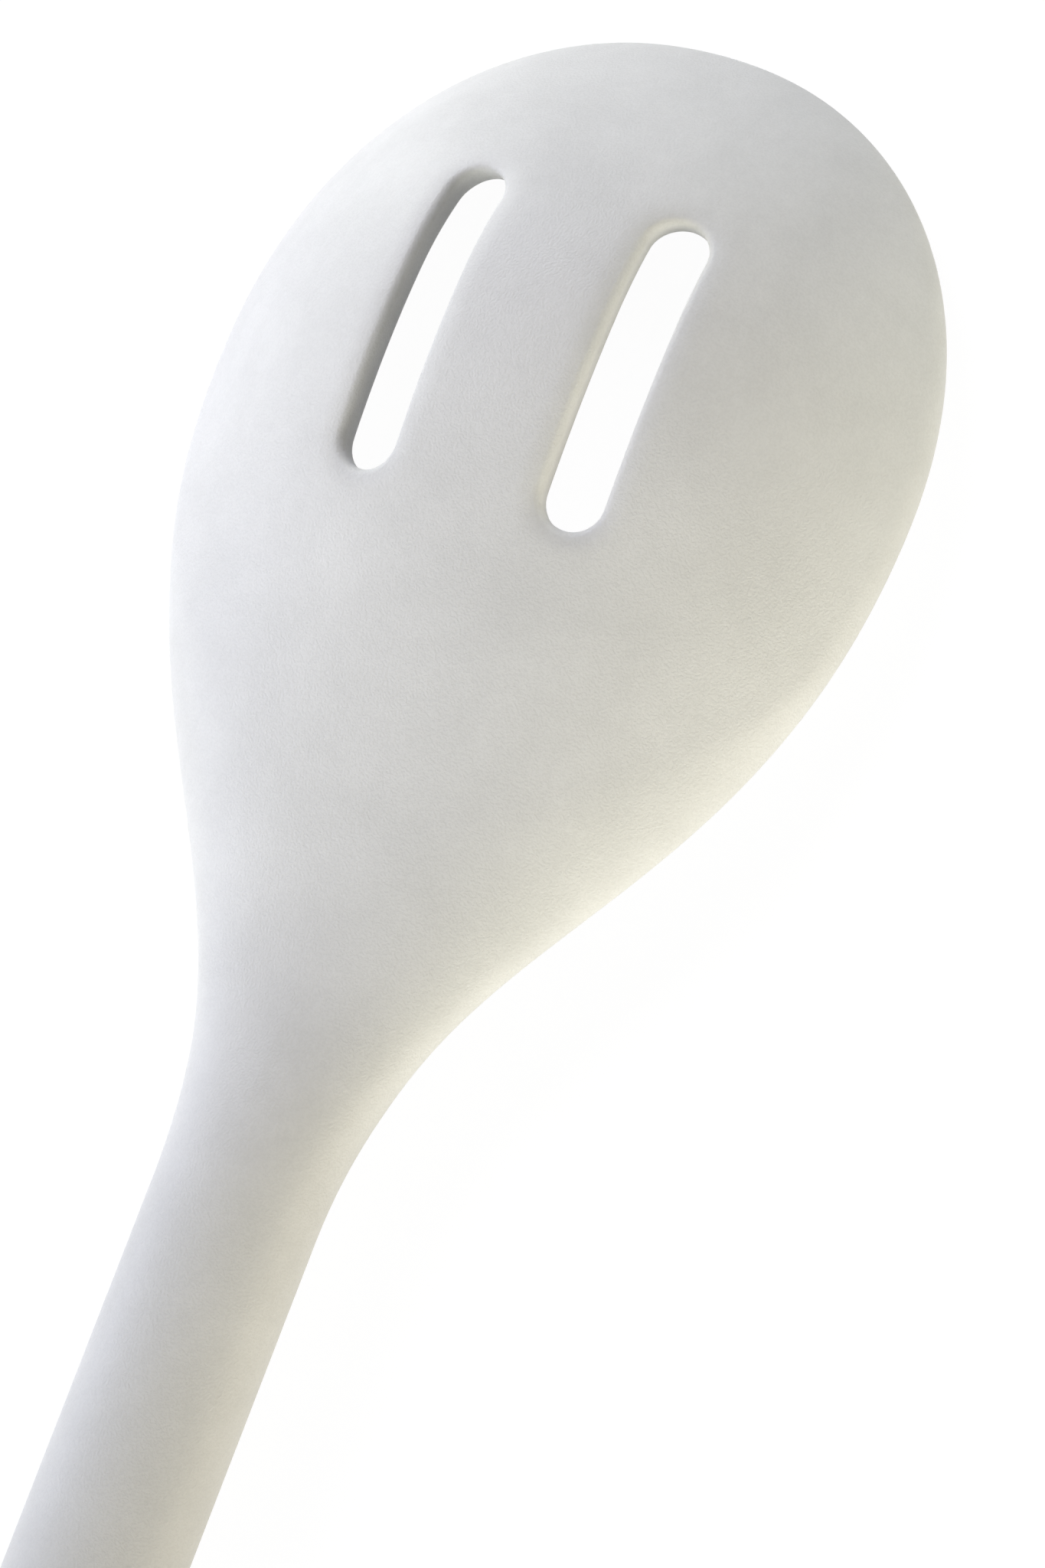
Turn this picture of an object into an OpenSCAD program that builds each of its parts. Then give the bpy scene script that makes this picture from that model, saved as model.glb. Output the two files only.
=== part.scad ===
// Slotted serving spoon, lying face down with the back of its bowl upwards.
// The long axis runs along X, with the tip of the bowl at +X and the butt of the handle at -X.
// The origin is under the middle of the spoon, on the surface that it lies on.
// Places along the spoon are distances from the tip of its mid surface, just inside its nose.

/* [Overall] */
// Length from the butt of the handle to the tip of the bowl
spoon_len = 300; // [280:1:330]

/* [Bowl] */
// Width across the widest place of the bowl
bowl_w = 76; // [68:0.1:82]
// Distance from the tip to the widest place of the bowl
tip_len = 41.5; // [37:0.5:45]
// Squareness of the tip's outline, where 2 is an ellipse
tip_power = 2.09; // [1.9:0.01:2.4]
// Rise of the dome from its rim to its crown, at mid-thickness
dome_depth = 18; // [15:0.1:20]
// Share of the dome's fall that is kept back for its sides, where 0 is a parabola
late_fall_share = 0.38; // [0:0.01:0.7]
// Distance from the tip to the highest place of the crown over the rim
crown_len = 32; // [28:0.1:35]
// Steepness of the crown's rise from the tip, where 1 is straight
crown_power = 2; // [1.8:0.1:2.4]
// Thickness of the bowl's shell
bowl_t = 3.6; // [3.2:0.1:4.4]

/* [Neck] */
// Distance from the tip to the place where the neck has become the handle
head_len = 124.5; // [118:0.5:132]
// Distance from the tip to the place where the shell starts to thicken
shell_len = 55; // [50:1:62]
// Share of the neck over which its outline keeps to the bowl's width
belly_hold_share = 0.5; // [0.4:0.01:0.6]
// Share of the neck over which its outline keeps to the handle's width
neck_hold_share = 0.42; // [0.3:0.01:0.5]
// Share of the head over which the rim line turns down from the handle's line
rim_turn_share = 0.12; // [0.1:0.01:0.3]
// Distance from the tip to the place where the crown has died away
crown_end = 112; // [98:0.5:116]
// Rise of the handle's axis from the butt to the neck
neck_rise = 2.4; // [1:0.1:4]

/* [Handle] */
// Width of the oval handle
handle_w = 17.6; // [16:0.1:20]
// Height of the oval handle
handle_h = 13; // [12:0.1:15]
// Length of the rounded butt end
butt_len = 8; // [6:0.5:10]
// Diameter of the hanging hole
hang_d = 6; // [5:0.1:6.6]
// Distance from the butt to the centre of the hanging hole
hang_inset = 13; // [12:0.5:18]

/* [Slots] */
// Width of a slot between its walls
slot_w = 6.2; // [5:0.1:7]
// Length of a slot from end to end
slot_len = 32.3; // [26:0.1:34]
// Distance between the centre lines of the two slots
slot_pitch = 22.5; // [20:0.1:25]
// Distance from the tip to the middle of the slots
slot_mid = 37.3; // [35:0.1:40]
// Share of the dome's slope that a slot's walls lean with, where 0 is upright
slot_lean_share = 0.55; // [0.2:0.05:1]
// Radius of the rounded lips of a slot
lip_r = 1.3; // [0.8:0.1:1.4]

/* [Bowl plate] */
// Thickness of the pressed plate
plate_t = 0.8; // [0.6:0.1:1]
// Silicone between the rim of the spoon and the edge of the plate
rim_cover = 4; // [3.5:0.1:5]
// Silicone between a slot's wall and the plate
liner_t = 1.8; // [1.6:0.1:2.2]
// Distance from the tip to the end of the plate's tang
plate_end = 116; // [110:0.5:116.5]
// Diameter of the holes that lock the silicone to the plate
lock_d = 4; // [3:0.1:5]

/* [Spine rod] */
// Diameter of the rod
rod_d = 5; // [4:0.1:5.5]
// Length of the plate's tang that the rod's sawn end holds
tang_grip = 12; // [8:0.5:13]
// Distance from the butt to the end of the rod
rod_inset = 28; // [26:0.5:40]

/* [Handle core] */
// Silicone round the core
core_cover = 2.2; // [2:0.1:2.6]
// Gap between the end of the plate's tang and the core
core_gap = 2; // [1.5:0.1:3]
// Number of grooves round the core that lock the silicone
groove_count = 6; // [2:1:8]
// Width of a groove
groove_w = 3; // [2:0.1:4]
// Depth of a groove
groove_depth = 0.8; // [0.5:0.1:1]

/* [Fits] */
// Gap all round where silicone meets the pieces that it is moulded over
bond_gap = 0.05; // [0.03:0.01:0.1]
// Gap round the rod in the core, and round the tang in the rod
rod_fit = 0.1; // [0.05:0.01:0.15]

/* [Hidden] */

// Counts of steps round and along the lofted shapes
tip_steps = 13;
neck_steps = 18;
handle_steps = 4;
butt_steps = 6;
side_steps = 10;
plate_side_steps = 7;
core_sides = 28;
slot_end_steps = 8;
slot_side_steps = 6;
lip_steps = 3;
carry_steps = 4;

// How far a cutter runs past the face that it leaves
overrun = 2;
// Step over which a slope is measured on the mid surface
slope_step = 0.5;
// Angle at which a lip's arc leaves its cutter, so that it crosses the skin cleanly
lip_angle = 68;

half_t = bowl_t / 2;
// The rounded rim bulges past the edge of the mid surface, which slopes there
function bulge(slope) = half_t * (sqrt(1 + sin(atan(slope)) ^ 2) - 1);
half_w = bowl_w / 2 - bulge((2 + 2 * late_fall_share) * dome_depth / (bowl_w / 2));
mid_len = spoon_len - bulge(crown_power * dome_depth / crown_len);
tip_x = mid_len - spoon_len / 2;
handle_a = handle_w / 2;
handle_b = handle_h / 2;
neck_len = head_len - tip_len;
axis_slope = neck_rise / (mid_len - head_len);
axis_tilt = atan(axis_slope);
rod_front = plate_end - tang_grip;
core_front = plate_end + core_gap;
core_end = mid_len - core_cover;

// Lock holes, as shares of the plate's reach along the spoon and of its half width
lock_shares = [
    [0.12, 0], [0.32, 0], [0.52, 0],
    [0.18, 0.74], [0.38, 0.8], [0.58, 0.74],
    [0.18, -0.74], [0.38, -0.8], [0.58, -0.74],
    [0.74, 0.45], [0.74, -0.45]
];

// Formulas

// Place on a cubic curve that runs from a to d and is drawn towards b and c
function cubic(a, b, c, d, t) =
    a * (1 - t) ^ 3 + 3 * b * t * (1 - t) ^ 2 + 3 * c * t ^ 2 * (1 - t) + d * t ^ 3;

// Smooth step from 0 to 1
function ease(t) = let (c = min(max(t, 0), 1)) c * c * (3 - 2 * c);

function unit(v) = v / norm(v);

// Outline of the spoon, as pairs of distance from the tip and half width
tip_outline = [
    for (i = [0 : tip_steps])
        let (w = 90 * i / tip_steps)
        [tip_len * (1 - cos(w)), half_w * (1 - cos(w) ^ tip_power) ^ (1 / tip_power)]
];
neck_outline = [
    for (i = [1 : neck_steps])
        let (t = i / neck_steps)
        [
            cubic(tip_len, tip_len + belly_hold_share * neck_len,
                head_len - neck_hold_share * neck_len, head_len, t),
            cubic(half_w, half_w, handle_a, handle_a, t)
        ]
];
handle_outline = [
    for (i = [1 : handle_steps])
        [head_len + (mid_len - butt_len - head_len) * i / handle_steps, handle_a]
];
butt_outline = [
    for (i = [1 : butt_steps])
        let (w = 90 * i / butt_steps)
        [mid_len - butt_len + butt_len * sin(w), handle_a * cos(w)]
];
head_outline = concat(tip_outline, neck_outline);
outline = concat(head_outline, handle_outline, butt_outline);
function half_w_at(e) = lookup(e, outline);

// How much of the neck's change from shell to handle is done, from 0 to 1
function neck_share(e) = ease((e - shell_len) / (head_len - shell_len));

// Height of the handle's axis, carried on to the tip
function axis_z(e) = handle_b + (mid_len - e) * axis_slope;

// Share of the rim's whole fall below that axis
function rim_fall(e) =
    let (t = max(0, 1 - e / head_len), k = rim_turn_share)
    (sqrt(t * t + k * k) - k) / (sqrt(1 + k * k) - k);

// Rise of the dome's crown over the rim, which dies away softly along the neck
function crown(e) =
    let (gone = min(max((e - crown_len) / (crown_end - crown_len), 0), 1))
    dome_depth * (1 - max(0, 1 - e / crown_len) ^ crown_power) * (1 - gone ^ 2) ^ 2;

// Share of the dome's whole fall at a share of the half width
function dome_fall(u) = u ^ 2 * (1 - late_fall_share * (1 - u ^ 2));

// Height of the rim's middle line, when the tip's is at tip_z
function rim_z_from(e, tip_z) = axis_z(e) + (tip_z - axis_z(0)) * rim_fall(e);

// Rounding of the shell's edge: distance in from the rim, radius, half thickness
function edge_depth(a, lean, u, k) = a * cos(lean) * (1 - abs(u) ^ k) / k;
function edge_half_t(d, r, b) = b * sqrt(1 - (1 - min(d / r, 1)) ^ 2);
function half_t_at(e, a) =
    (half_t + (handle_b - half_t) * neck_share(e)) * (e > head_len ? a / handle_a : 1);
function edge_r_at(e, a) =
    let (w = neck_share(e))
    min(half_t_at(e, a), a / 2) * (1 - w) + a * w;

// Angle between the outline and the spoon's axis at a station
function lean_at(line, i) =
    let (p = line[max(i - 1, 0)], q = line[min(i + 1, len(line) - 1)])
    atan((q[1] - p[1]) / (q[0] - p[0]));

// Grid of points on a mid surface, one row for each place of the outline,
// with the points of a row drawn together towards the rim
function rim_shares(n) = [for (j = [-n : n]) sin(90 * j / n)];
function normal_at(grid, i, j) =
    let (
        row = grid[i],
        across = row[min(j + 1, len(row) - 1)] - row[max(j - 1, 0)],
        along = grid[min(i + 1, len(grid) - 1)][j] - grid[max(i - 1, 0)][j]
    )
    unit(cross(across, along));

// Closed ring round a section: its upper side, then its lower side back again
function skin_grid(tip_z) = [
    for (s = outline) [
        for (u = rim_shares(side_steps))
            [tip_x - s[0], s[1] * u,
                rim_z_from(s[0], tip_z) + crown(s[0]) * (1 - dome_fall(u))]
    ]
];
function skin_t(i, j) =
    let (
        s = outline[i],
        k = 2 - neck_share(s[0]),
        d = edge_depth(s[1], lean_at(outline, i), rim_shares(side_steps)[j], k)
    )
    edge_half_t(d, edge_r_at(s[0], s[1]), half_t_at(s[0], s[1]));
function skin_point(grid, i, j, side) =
    grid[i][j] + side * skin_t(i, j) * normal_at(grid, i, j);

// The tip's rim is set at the height that lets the spoon touch the surface there
free_grid = skin_grid(0);
tip_rim_z = -min([for (i = [1 : tip_steps]) skin_point(free_grid, i, side_steps, -1)[2]]);
mid_grid = skin_grid(tip_rim_z);
function rim_z(e) = rim_z_from(e, tip_rim_z);
function mid_z(e, y) = rim_z(e) + crown(e) * (1 - dome_fall(y / half_w_at(e)));
function on_mid(e, y) = [tip_x - e, y, mid_z(e, y)];

skin_rings = [
    for (i = [1 : len(outline) - 2]) concat(
        [for (j = [0 : 2 * side_steps]) skin_point(mid_grid, i, j, 1)],
        [for (j = [2 * side_steps - 1 : -1 : 1]) skin_point(mid_grid, i, j, -1)]
    )
];

// Slots: each leaves between upright and the mid surface's normal at its middle
function mid_normal(e, y) =
    unit(cross(
        on_mid(e, y + slope_step) - on_mid(e, y - slope_step),
        on_mid(e + slope_step, y) - on_mid(e - slope_step, y)));

// Carries a point along dir until it lies on the mid surface
function carried(p, dir, n) =
    n == 0 ? p :
    carried(p + dir * (mid_z(tip_x - p[0], p[1]) - p[2]) * dir[2], dir, n - 1);

// Round-ended outline of half width r, whose end centres are d apart
function stadium(d, r) = concat(
    [for (i = [0 : slot_end_steps]) let (w = -90 + 180 * i / slot_end_steps)
        [d / 2 + r * cos(w), r * sin(w)]],
    [for (i = [1 : slot_side_steps - 1]) [d / 2 - d * i / slot_side_steps, r]],
    [for (i = [0 : slot_end_steps]) let (w = 90 + 180 * i / slot_end_steps)
        [-d / 2 + r * cos(w), r * sin(w)]],
    [for (i = [1 : slot_side_steps - 1]) [-d / 2 + d * i / slot_side_steps, -r]]
);

// Levels of a slot's cutter, as pairs of flare and height over the mid surface
lip_levels = [
    for (i = [0 : lip_steps])
        let (w = lip_angle * i / lip_steps)
        [lip_r * (1 - cos(w)), half_t - lip_r * sin(lip_angle) + lip_r * sin(w)]
];
lip_end = lip_levels[lip_steps] + overrun * [sin(lip_angle), cos(lip_angle)];
upper_levels = concat(lip_levels, [lip_end, lip_end + [0, overrun]]);
lipped_levels = concat(
    [for (i = [len(upper_levels) - 1 : -1 : 0]) [upper_levels[i][0], -upper_levels[i][1]]],
    upper_levels
);
plain_levels = [[0, -half_t - overrun], [0, half_t + overrun]];

function slot_centre(side) = on_mid(slot_mid, side * slot_pitch / 2);
function slot_dir(side) =
    unit([0, 0, 1 - slot_lean_share]
        + slot_lean_share * mid_normal(slot_mid, side * slot_pitch / 2));
function slot_ring(side, flare, height) =
    let (dir = slot_dir(side), over = unit(cross(dir, [1, 0, 0])))
    [
        for (p = stadium(slot_len - slot_w, slot_w / 2 + flare))
            carried(slot_centre(side) + [p[0], 0, 0] + over * p[1], dir, carry_steps) + dir * height
    ];

// Plate: the mid surface, drawn in from the rim by a cover
function plate_outline(cover) = [
    for (i = [0 : len(head_outline) - 1])
        let (
            s = head_outline[i],
            lean = i == 0 ? 90 : lean_at(head_outline, i),
            p = [s[0] + cover * sin(lean), s[1] - cover * cos(lean)]
        )
        if (p[0] < plate_end - slope_step) p
];
function plate_line(grow) =
    let (
        line = plate_outline(rim_cover - grow),
        e = plate_end + grow
    )
    concat(line, [[e, half_w_at(e) - rim_cover + grow]]);
function plate_grid(grow) = [
    for (s = plate_line(grow))
        [for (u = rim_shares(plate_side_steps)) on_mid(s[0], s[1] * u)]
];
function plate_ring(grid, i, t) = concat(
    [for (j = [0 : 2 * plate_side_steps]) grid[i][j] + t / 2 * normal_at(grid, i, j)],
    [for (j = [2 * plate_side_steps : -1 : 0]) grid[i][j] - t / 2 * normal_at(grid, i, j)]
);

// Core: an oval loft with grooves, as triples of distance from the tip,
// half width and half height
core_a = handle_a - core_cover;
core_b = handle_b - core_cover;
core_butt = butt_len - core_cover;
core_run = core_end - core_butt - core_front;
groove_pitch = core_run / (groove_count + 1);
function core_sections(grow) = concat(
    [[core_front - grow, core_a + grow, core_b + grow]],
    [
        for (i = [1 : groove_count])
            let (mid = core_front + i * groove_pitch, half = groove_w / 2 - grow)
            for (p = [[-half, 0], [-half + groove_depth, 1], [half - groove_depth, 1], [half, 0]])
                let (cut = p[1] * groove_depth)
                [mid + p[0], core_a - cut + grow, core_b - cut + grow]
    ],
    [
        for (i = [0 : butt_steps - 1])
            let (w = 90 * i / butt_steps, reach = core_butt + grow)
            [core_end - core_butt + reach * sin(w), (core_a + grow) * cos(w), (core_b + grow) * cos(w)]
    ]
);
function core_ring(s) = [
    for (i = [0 : core_sides - 1])
        let (w = 360 * i / core_sides)
        [tip_x - s[0], -s[1] * cos(w), axis_z(s[0]) + s[2] * sin(w)]
];

// Solids

// Closed solid through rings of equal counts, from a first to a last point
module loft(first, rings, last) {
    n = len(rings[0]);
    m = len(rings);
    points = concat([first], [for (r = rings) each r], [last]);
    faces = concat(
        [for (j = [0 : n - 1]) [0, 1 + j, 1 + (j + 1) % n]],
        [
            for (i = [0 : m - 2], j = [0 : n - 1])
                let (a = 1 + i * n + j, b = 1 + i * n + (j + 1) % n)
                each [[a, a + n, b], [b, a + n, b + n]]
        ],
        [for (j = [0 : n - 1]) [1 + m * n, 1 + (m - 1) * n + (j + 1) % n, 1 + (m - 1) * n + j]]
    );
    polyhedron(points, faces);
}

function middle(ring) = [for (k = [0 : 2]) [for (p = ring) p[k]] * [for (p = ring) 1 / len(ring)]];

// Outer skin of the whole spoon
module skin() {
    last = len(outline) - 1;
    loft(mid_grid[0][side_steps], skin_rings, mid_grid[last][side_steps]);
}

// Cutter of one slot, grown by a liner where it cuts the plate
module slot_cutter(side, grow, levels) {
    rings = [for (l = levels) slot_ring(side, l[0] + grow, l[1])];
    reach = levels[len(levels) - 1][1] * slot_dir(side);
    loft(slot_centre(side) - reach, rings, slot_centre(side) + reach);
}

module slot_cutters(grow, levels) {
    for (side = [-1, 1]) slot_cutter(side, grow, levels);
}

// Posts where the silicone runs through the plate
module lock_posts(d) {
    for (s = lock_shares) {
        e = rim_cover + s[0] * (plate_end - rim_cover);
        p = on_mid(e, s[1] * (half_w_at(e) - rim_cover));
        translate(p) cylinder(h = 2 * overrun + bowl_t, d = d, center = true, $fn = 32);
    }
}

// The pressed plate's space, grown on every side
module plate_space(grow) {
    grid = plate_grid(grow);
    last = len(grid) - 1;
    t = plate_t + 2 * grow;
    rings = [for (i = [1 : last]) plate_ring(grid, i, t)];
    difference() {
        loft(grid[0][plate_side_steps], rings, middle(rings[last - 1]));
        slot_cutters(liner_t - grow, plain_levels);
        lock_posts(lock_d - 2 * grow);
    }
}

// The rod's space along the handle's axis
module rod_space(grow, front) {
    translate([tip_x - front + grow, 0, axis_z(front - grow)])
        rotate([0, -90 - axis_tilt, 0])
            cylinder(h = mid_len - rod_inset - front + 2 * grow, d = rod_d + 2 * grow, $fn = 48);
}

// The core's space, with its grooves
module core_space(grow) {
    sections = core_sections(grow);
    rings = [for (s = sections) core_ring(s)];
    loft(middle(rings[0]), rings,
        [tip_x - core_end - grow, 0, axis_z(core_end + grow)]);
}

module hang_bore(d) {
    translate([hang_inset - spoon_len / 2, 0, -overrun])
        cylinder(h = handle_h + neck_rise + 2 * overrun, d = d, $fn = 64);
}

// Sub-parts

module silicone_jacket() {
    color("ghostwhite")
        difference() {
            skin();
            slot_cutters(0, lipped_levels);
            hang_bore(hang_d);
            plate_space(bond_gap);
            rod_space(bond_gap, rod_front);
            difference() {
                core_space(bond_gap);
                hang_bore(hang_d + 2 * liner_t - 2 * bond_gap);
            }
        }
}

module bowl_plate() {
    color("silver") plate_space(0);
}

module spine_rod() {
    color("lightsteelblue")
        difference() {
            rod_space(0, rod_front);
            tang_slot();
        }
}

// Sawn slot in the rod's front end, as wide as the tang with its fit
module tang_slot() {
    grid = plate_grid(rod_fit);
    last = len(grid) - 1;
    rings = [for (i = [1 : last]) plate_ring(grid, i, plate_t + 2 * rod_fit)];
    loft(grid[0][plate_side_steps], rings, middle(rings[last - 1]));
}

module handle_core() {
    color("dimgray")
        difference() {
            core_space(0);
            rod_space(rod_fit, rod_front);
            hang_bore(hang_d + 2 * liner_t);
        }
}

silicone_jacket();
bowl_plate();
spine_rod();
handle_core();
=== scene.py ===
"""Looks of a slotted serving spoon: its silicone skin, the steel and nylon inside it, and a studio.

The part's frame is in metres. The spoon lies face down along X, with the tip of its bowl
at +X. The sizes of its form are in millimetres, as on a drawing, and MM turns them to metres.
"""

import logging
import math
from dataclasses import dataclass, field
from enum import Enum

import bmesh
import bpy
import numpy as np
from mathutils import Matrix


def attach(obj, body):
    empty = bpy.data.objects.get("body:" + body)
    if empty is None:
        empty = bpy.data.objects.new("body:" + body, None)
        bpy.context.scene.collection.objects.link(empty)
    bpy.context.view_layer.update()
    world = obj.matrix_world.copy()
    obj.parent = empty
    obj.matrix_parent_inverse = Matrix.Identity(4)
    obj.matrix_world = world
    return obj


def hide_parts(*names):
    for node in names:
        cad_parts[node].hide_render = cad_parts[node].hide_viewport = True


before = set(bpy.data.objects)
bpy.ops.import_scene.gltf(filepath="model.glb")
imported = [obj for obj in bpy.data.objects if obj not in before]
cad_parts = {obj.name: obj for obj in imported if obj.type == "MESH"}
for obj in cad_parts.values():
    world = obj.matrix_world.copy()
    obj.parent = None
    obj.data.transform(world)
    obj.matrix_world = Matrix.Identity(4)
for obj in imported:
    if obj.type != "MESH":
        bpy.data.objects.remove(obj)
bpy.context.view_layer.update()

MM = 0.001
PHOTO_W, PHOTO_H = 1365, 2048
BODY = "root"
SKIN_WELD = 1e-8
SOLID_WELD = 1e-7

log = logging.getLogger("spoon")


class Node(Enum):
    """Solids of the part."""

    JACKET = "silicone_jacket"
    PLATE = "bowl_plate"
    ROD = "spine_rod"
    CORE = "handle_core"


# Form


def ease(t: np.ndarray) -> np.ndarray:
    """Smooth step: 3 t squared less 2 t cubed, with t held between 0 and 1."""
    c = np.clip(t, 0.0, 1.0)
    return c * c * (3.0 - 2.0 * c)


def cubic(a: float, b: float, c: float, d: float, t: np.ndarray) -> np.ndarray:
    """Cubic curve from a to d, drawn towards b and c.

    Args:
        a: Value at t = 0.
        b: Value that the curve leaves a for.
        c: Value that the curve reaches d from.
        d: Value at t = 1.
        t: Places along the curve.

    Returns:
        The weighted sum of the four values, with the cubic Bernstein weights.
    """
    s = 1.0 - t
    return a * s**3 + 3.0 * b * t * s**2 + 3.0 * c * t**2 * s + d * t**3


@dataclass(frozen=True)
class SpoonForm:
    """Sizes of the spoon in millimetres, and the smooth surfaces that follow from them.

    A place on the spoon is a distance e from the tip of its mid surface, and a place y
    across it. The skin lies half a thickness away from the mid surface on each side.
    """

    spoon_len: float = 300.0
    bowl_w: float = 76.0
    tip_len: float = 41.5
    tip_power: float = 2.09
    dome_depth: float = 18.0
    late_fall_share: float = 0.38
    crown_len: float = 32.0
    crown_power: float = 2.0
    crown_end: float = 112.0
    bowl_t: float = 3.6
    head_len: float = 124.5
    shell_len: float = 55.0
    belly_hold_share: float = 0.5
    neck_hold_share: float = 0.42
    rim_turn_share: float = 0.12
    neck_rise: float = 2.4
    handle_w: float = 17.6
    handle_h: float = 13.0
    butt_len: float = 8.0
    curve_steps: int = 4000
    slope_step: float = 0.05

    def bulge(self, slope: float) -> float:
        """How far the rounded rim passes the mid surface, which has that slope there."""
        return self.half_t * (math.sqrt(1.0 + math.sin(math.atan(slope)) ** 2) - 1.0)

    @property
    def half_t(self) -> float:
        """Half the thickness of the bowl's shell."""
        return self.bowl_t / 2.0

    @property
    def half_w(self) -> float:
        """Half the width of the mid surface at the bowl's widest place."""
        outer = self.bowl_w / 2.0
        return outer - self.bulge((2.0 + 2.0 * self.late_fall_share) * self.dome_depth / outer)

    @property
    def mid_len(self) -> float:
        """Length of the mid surface."""
        return self.spoon_len - self.bulge(self.crown_power * self.dome_depth / self.crown_len)

    @property
    def tip_x(self) -> float:
        """Place of the mid surface's tip along X."""
        return self.mid_len - self.spoon_len / 2.0

    @property
    def handle_a(self) -> float:
        """Half the handle's width."""
        return self.handle_w / 2.0

    @property
    def handle_b(self) -> float:
        """Half the handle's height."""
        return self.handle_h / 2.0

    @property
    def axis_slope(self) -> float:
        """Rise of the handle's axis for each millimetre towards the neck."""
        return self.neck_rise / (self.mid_len - self.head_len)

    def half_width(self, e: np.ndarray) -> np.ndarray:
        """Half width of the spoon.

        The tip is a superellipse, the neck a cubic curve from the bowl's width to the
        handle's, the handle straight and the butt an ellipse.

        Args:
            e: Distances from the tip.

        Returns:
            Half widths at those places.
        """
        c = np.clip(1.0 - e / self.tip_len, 0.0, 1.0)
        tip = self.half_w * (1.0 - c**self.tip_power) ** (1.0 / self.tip_power)
        t = np.linspace(0.0, 1.0, self.curve_steps)
        run = self.head_len - self.tip_len
        place = cubic(
            self.tip_len,
            self.tip_len + self.belly_hold_share * run,
            self.head_len - self.neck_hold_share * run,
            self.head_len,
            t,
        )
        width = cubic(self.half_w, self.half_w, self.handle_a, self.handle_a, t)
        neck = np.interp(e, place, width)
        s = np.clip((e - self.mid_len + self.butt_len) / self.butt_len, 0.0, 1.0)
        butt = self.handle_a * np.sqrt(1.0 - s * s)
        return np.where(e < self.tip_len, tip, np.where(e < self.head_len, neck, butt))

    def lean(self, e: np.ndarray) -> np.ndarray:
        """Angle between the outline and the spoon's axis, from the half width's slope."""
        h = self.step_at(e)
        return np.arctan((self.half_width(e + h) - self.half_width(e - h)) / (2.0 * h))

    def step_at(self, e: np.ndarray) -> np.ndarray:
        """Step over which slopes are taken, smaller close to the two ends."""
        return np.minimum(self.slope_step, np.minimum(e, self.mid_len - e) / 2.0)

    def neck_share(self, e: np.ndarray) -> np.ndarray:
        """How much of the change from shell to handle is done, from 0 to 1."""
        return ease((e - self.shell_len) / (self.head_len - self.shell_len))

    def axis_z(self, e: np.ndarray) -> np.ndarray:
        """Height of the handle's axis, carried on to the tip."""
        return self.handle_b + (self.mid_len - e) * self.axis_slope

    def rim_z(self, e: np.ndarray, tip_z: float) -> np.ndarray:
        """Height of the rim's middle line.

        The rim leaves the handle's axis in a soft turn and falls evenly to the tip: the
        fall is a hyperbola of the distance from the neck.

        Args:
            e: Distances from the tip.
            tip_z: Height of the line at the tip.

        Returns:
            Heights at those places.
        """
        t = np.maximum(0.0, 1.0 - e / self.head_len)
        k = self.rim_turn_share
        fall = (np.sqrt(t * t + k * k) - k) / (math.sqrt(1.0 + k * k) - k)
        return self.axis_z(e) + (tip_z - self.axis_z(np.zeros(1))) * fall

    def crown(self, e: np.ndarray) -> np.ndarray:
        """Height of the dome's crown over the rim's line.

        It rises from the tip as a power curve, and from its highest place it dies away
        along the neck, softly at both ends.
        """
        rise = 1.0 - np.clip(1.0 - e / self.crown_len, 0.0, 1.0) ** self.crown_power
        gone = np.clip((e - self.crown_len) / (self.crown_end - self.crown_len), 0.0, 1.0)
        return self.dome_depth * rise * (1.0 - gone * gone) ** 2

    def mid_z(self, e: np.ndarray, y: np.ndarray, tip_z: float) -> np.ndarray:
        """Height of the mid surface: the rim's line and a dome over it.

        The dome falls from its crown to the rim by the square of the share of the half
        width, and partly by its fourth power, which comes late and leaves the rim steeper.

        Args:
            e: Distances from the tip.
            y: Places across.
            tip_z: Height of the rim's line at the tip.

        Returns:
            Heights at those places.
        """
        square = (y / self.half_width(e)) ** 2
        fall = square * (1.0 - self.late_fall_share * (1.0 - square))
        return self.rim_z(e, tip_z) + self.crown(e) * (1.0 - fall)

    def half_thickness(self, e: np.ndarray, y: np.ndarray) -> np.ndarray:
        """Half thickness of the spoon, which rounds off towards its edge.

        Within a radius of the edge it is an arc of an ellipse: b times the root of
        1 - (1 - d / r) squared, where d is the distance to the edge.

        Args:
            e: Distances from the tip.
            y: Places across.

        Returns:
            Half thicknesses at those places.
        """
        a, w = self.half_width(e), self.neck_share(e)
        b = self.half_t + (self.handle_b - self.half_t) * w
        b = b * np.where(e > self.head_len, a / self.handle_a, 1.0)
        r = np.minimum(b, a / 2.0) * (1.0 - w) + a * w
        k = 2.0 - w
        u = np.minimum(np.abs(y / a), 1.0)
        d = a * np.cos(self.lean(e)) * (1.0 - u**k) / k
        return b * np.sqrt(1.0 - (1.0 - np.minimum(d / r, 1.0)) ** 2)

    def tip_rim_z(self) -> float:
        """Height of the rim's line at the tip that lets the skin's underside touch the floor."""
        e = np.linspace(0.0, self.tip_len, self.curve_steps)[1:]
        return -float(self.skin(e, np.zeros_like(e), -1.0, 0.0)[..., 2].min())

    def normal(self, e: np.ndarray, y: np.ndarray, tip_z: float) -> np.ndarray:
        """Upward unit normal of the mid surface, from its slopes along and across."""
        h = self.step_at(e)
        along = (self.mid_z(e + h, y, tip_z) - self.mid_z(e - h, y, tip_z)) / (2.0 * h)
        across = (self.mid_z(e, y + h, tip_z) - self.mid_z(e, y - h, tip_z)) / (2.0 * h)
        n = np.stack([along, -across, np.ones_like(along)], axis=-1)
        return n / np.linalg.norm(n, axis=-1, keepdims=True)

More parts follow.
